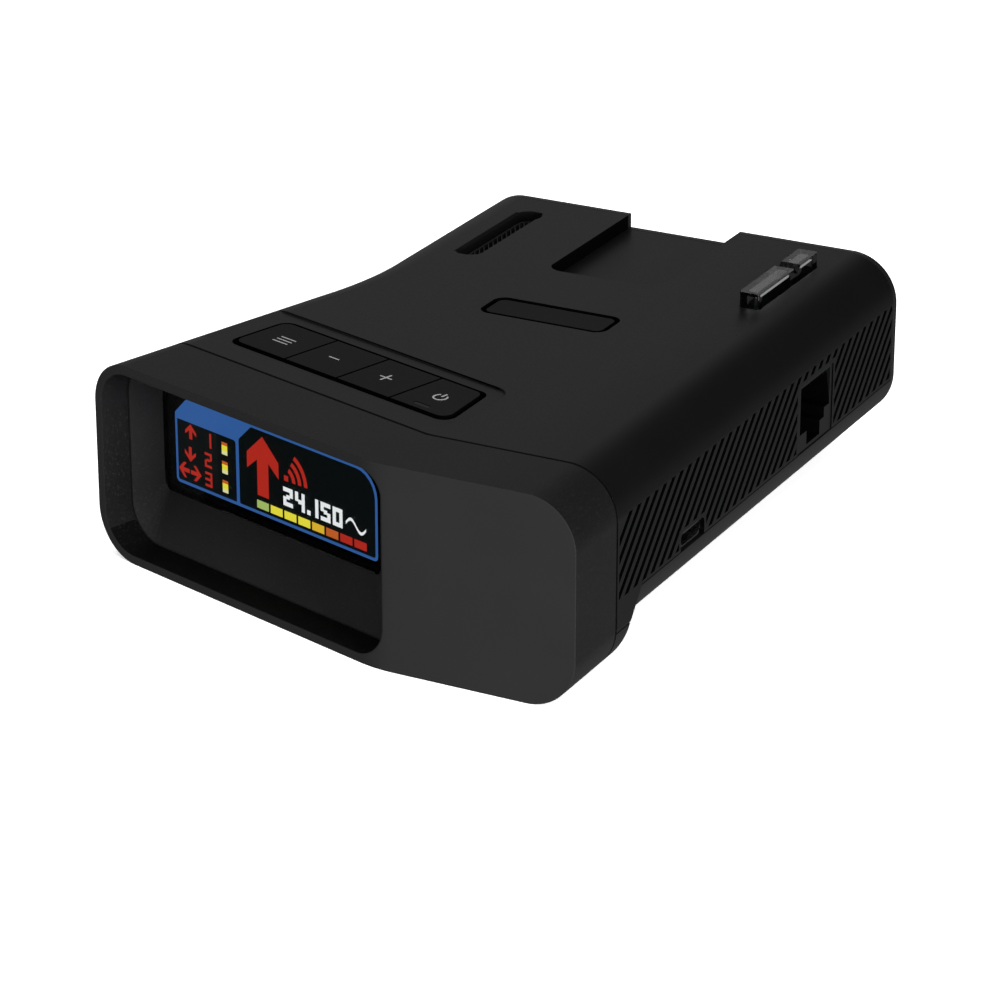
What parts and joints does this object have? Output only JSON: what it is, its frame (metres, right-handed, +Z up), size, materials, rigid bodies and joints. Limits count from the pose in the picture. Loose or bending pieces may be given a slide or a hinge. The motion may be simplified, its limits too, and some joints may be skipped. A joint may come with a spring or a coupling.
{
  "type": "radar detector",
  "caption": "Windscreen radar detector: angled display bezel, row of push buttons, mute button, ribbed sides, bracket notch, clear roof lens, power and data sockets.",
  "frame": {"origin": "under the centre of the object's box, level with the bezel's lowest edge", "axes": "+X to the driver's right, +Y towards the road (the display faces -Y), +Z up"},
  "size_m": [0.09, 0.114, 0.0345],
  "materials": {
    "shell": "fine satin texture, near black",
    "fascia": "fine matte texture, dark grey",
    "hood": "dull black with a speckled grain",
    "window": "clear, lightly tinted",
    "panel_glass": "polished black display glass",
    "circuit_board": "green solder mask",
    "ribbon": "amber film",
    "rear_plate": "polished black, open to infrared and microwaves",
    "grille": "satin",
    "foam": "closed-cell foam",
    "speaker_frame": "moulded",
    "cone": "coated paper",
    "switch_metal": "stamped steel",
    "ceramic": "fired ceramic with a silvered patch",
    "chip": "black moulding compound",
    "die_cast": "as cast",
    "tin_plate": "bright tin plate",
    "socket": "black nylon",
    "gold": "gold flash",
    "clear": "polished clear acrylic",
    "screw": "black zinc",
    "label": "silver film, blank",
    "button": "fine matte black",
    "light_guide": "milky clear"
  },
  "bodies": {
    "case": {"front_bezel": "fascia", "display_hood": "hood", "display_window": "window", "display_panel": "panel_glass", "display_board": "circuit_board", "display_ribbon": "ribbon", "top_shell": "shell", "bottom_cover": "shell", "rear_window": "rear_plate", "speaker_grille": "grille", "speaker_gasket": "foam", "speaker_basket": "speaker_frame", "speaker_cone": "cone", "switch_board": "circuit_board", "tact_switches": "switch_metal", "gps_antenna": "ceramic", "main_board": "circuit_board", "board_chips": "chip", "rf_housing": "die_cast", "rf_cover": "tin_plate", "front_horn": "die_cast", "rear_horn": "die_cast", "power_jack": "socket", "jack_contacts": "gold", "usb_shell": "tin_plate", "usb_tongue": "socket", "laser_lens": "clear", "laser_board": "circuit_board", "laser_sensors": "chip", "case_screws": "screw", "board_screws": "screw", "blank_label": "label"},
    "menu": {"menu_button": "button"},
    "minus": {"minus_button": "button"},
    "plus": {"plus_button": "button"},
    "power": {"power_button": "button", "power_light": "light_guide"},
    "mute": {"mute_button": "button"}
  },
  "joints": [
    {"name": "menu_press", "type": "slide", "parent": "case", "child": "menu", "axis": [0, 0, -1], "range_m": [0, 0.0005], "stiffness_N_per_m": 1000, "springref_m": -0.0004},
    {"name": "minus_press", "type": "slide", "parent": "case", "child": "minus", "axis": [0, 0, -1], "range_m": [0, 0.0005], "stiffness_N_per_m": 1000, "springref_m": -0.0004},
    {"name": "plus_press", "type": "slide", "parent": "case", "child": "plus", "axis": [0, 0, -1], "range_m": [0, 0.0005], "stiffness_N_per_m": 1000, "springref_m": -0.0004},
    {"name": "power_press", "type": "slide", "parent": "case", "child": "power", "axis": [0, 0, -1], "range_m": [0, 0.0005], "stiffness_N_per_m": 1000, "springref_m": -0.0004},
    {"name": "mute_press", "type": "slide", "parent": "case", "child": "mute", "axis": [0, 0, -1], "range_m": [0, 0.0005], "stiffness_N_per_m": 1000, "springref_m": -0.0004}
  ]
}
